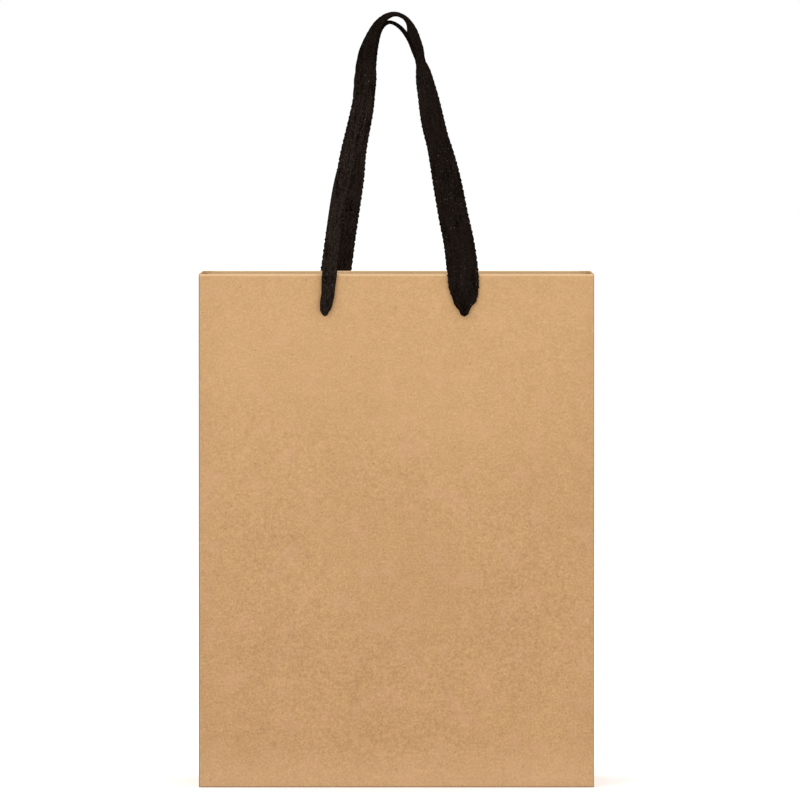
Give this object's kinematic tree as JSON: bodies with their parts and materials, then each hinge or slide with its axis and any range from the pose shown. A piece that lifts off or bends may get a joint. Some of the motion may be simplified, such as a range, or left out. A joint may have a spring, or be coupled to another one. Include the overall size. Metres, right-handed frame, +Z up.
{
  "type": "gift bag",
  "caption": "Upright kraft paper gift bag with side gussets, turned-in rim, base board and black ribbon loop handles; folds flat.",
  "frame": {"origin": "on the floor, at the middle of the open bag's base", "axes": "+Z up, the front panel faces -Y, +X to the right seen from the front"},
  "size_m": [0.254, 0.1486, 0.4974],
  "materials": {
    "kraft_paper": "uncoated kraft paper, matt",
    "grey_board": "recycled grey board, matt",
    "black_ribbon": "woven black twill ribbon"
  },
  "bodies": {
    "front": {"front_panel": "kraft_paper", "front_top_hem": "kraft_paper", "front_reinforcing_card": "grey_board", "front_left_knot": "black_ribbon", "front_right_knot": "black_ribbon"},
    "right_gusset_front": {"right_gusset_front_half": "kraft_paper", "right_gusset_front_hem": "kraft_paper"},
    "right_gusset_back": {"right_gusset_back_half": "kraft_paper", "right_gusset_back_hem": "kraft_paper"},
    "left_gusset_front": {"left_gusset_front_half": "kraft_paper", "left_gusset_front_hem": "kraft_paper"},
    "left_gusset_back": {"left_gusset_back_half": "kraft_paper", "left_gusset_back_hem": "kraft_paper"},
    "back": {"back_panel": "kraft_paper", "back_top_hem": "kraft_paper", "back_reinforcing_card": "grey_board", "back_left_knot": "black_ribbon", "back_right_knot": "black_ribbon", "side_seam_flap": "kraft_paper"},
    "base": {"base_front_flap": "kraft_paper", "base_back_flap": "kraft_paper", "base_left_flap": "kraft_paper", "base_right_flap": "kraft_paper", "base_board": "grey_board", "left_gusset_foot": "kraft_paper", "right_gusset_foot": "kraft_paper"},
    "front_loop": {"front_handle": "black_ribbon"},
    "back_loop": {"back_handle": "black_ribbon"}
  },
  "joints": [
    {"name": "right_gusset_fold", "type": "hinge", "parent": "front", "child": "right_gusset_front", "pos_m": [0.12687, -0.06338, 0.165], "axis": [0, 0, 1], "range_deg": [0, 75]},
    {"name": "flat_fold", "type": "hinge", "parent": "right_gusset_front", "child": "right_gusset_back", "pos_m": [0.12687, 0, 0.165], "axis": [0, 0, -1], "range_deg": [0, 150], "deforming": ["right_gusset_foot", "left_gusset_foot"]},
    {"name": "back_panel_crease", "type": "hinge", "parent": "right_gusset_back", "child": "back", "pos_m": [0.12687, 0.06338, 0.165], "axis": [0, 0, 1], "range_deg": [0, 75]},
    {"name": "left_gusset_fold", "type": "hinge", "parent": "front", "child": "left_gusset_front", "pos_m": [-0.12687, -0.06338, 0.165], "axis": [0, 0, -1], "range_deg": [0, 75]},
    {"name": "left_gusset_crease", "type": "hinge", "parent": "left_gusset_front", "child": "left_gusset_back", "pos_m": [-0.12687, 0, 0.165], "axis": [0, 0, 1], "range_deg": [0, 150]},
    {"name": "base_fold", "type": "hinge", "parent": "front", "child": "base", "pos_m": [0, -0.06338, 0.00013], "axis": [1, 0, 0], "range_deg": [0, 75]},
    {"name": "front_handle_swing", "type": "hinge", "parent": "front", "child": "front_loop", "pos_m": [0, -0.0665, 0.305], "axis": [1, 0, 0], "range_deg": [0, 175]},
    {"name": "back_handle_swing", "type": "hinge", "parent": "back", "child": "back_loop", "pos_m": [0, 0.0665, 0.305], "axis": [-1, 0, 0], "range_deg": [0, 175]}
  ],
  "couplings": [
    {"joint": "right_gusset_fold", "follows": "flat_fold", "ratio": 0.5},
    {"joint": "back_panel_crease", "follows": "flat_fold", "ratio": 0.5},
    {"joint": "left_gusset_fold", "follows": "flat_fold", "ratio": 0.5},
    {"joint": "left_gusset_crease", "follows": "flat_fold", "ratio": 1},
    {"joint": "base_fold", "follows": "flat_fold", "ratio": 0.5}
  ]
}
